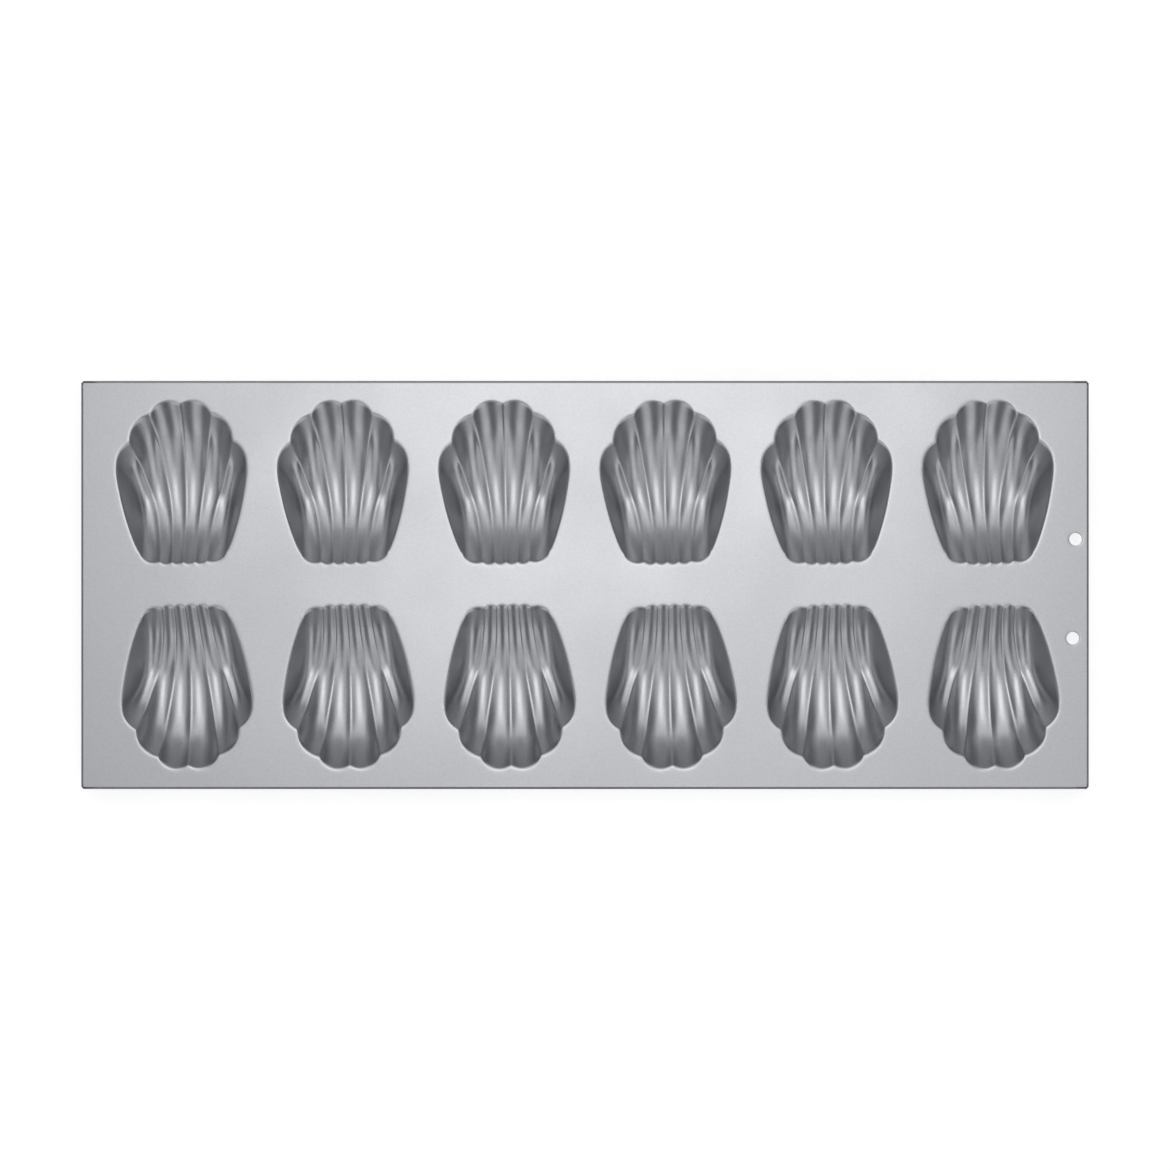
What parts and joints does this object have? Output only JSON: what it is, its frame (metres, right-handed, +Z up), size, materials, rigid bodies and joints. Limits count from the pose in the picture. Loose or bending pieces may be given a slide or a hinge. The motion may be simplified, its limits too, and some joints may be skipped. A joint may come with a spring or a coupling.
{
  "type": "madeleine pan",
  "caption": "Pressed tinned steel baking sheet with rows of fluted shell cups, folded edges and hanging holes at one end.",
  "frame": {"origin": "under the middle of the sheet, on the surface that the cups stand on", "axes": "+X along the sheet to the end with the two hanging holes, +Y to the row whose fans point away from it, +Z up out of the cups"},
  "size_m": [0.395, 0.16, 0.015],
  "materials": {
    "tinned_sheet": "satin tinned sheet, finely speckled, a little brighter along the pressed edges"
  },
  "bodies": {
    "root": {"deck_sheet": "tinned_sheet", "back_cup_1": "tinned_sheet", "back_cup_2": "tinned_sheet", "back_cup_3": "tinned_sheet", "back_cup_4": "tinned_sheet", "back_cup_5": "tinned_sheet", "back_cup_6": "tinned_sheet", "front_cup_1": "tinned_sheet", "front_cup_2": "tinned_sheet", "front_cup_3": "tinned_sheet", "front_cup_4": "tinned_sheet", "front_cup_5": "tinned_sheet", "front_cup_6": "tinned_sheet", "back_fold": "tinned_sheet", "left_fold": "tinned_sheet", "front_fold": "tinned_sheet", "right_fold": "tinned_sheet"}
  },
  "joints": []
}
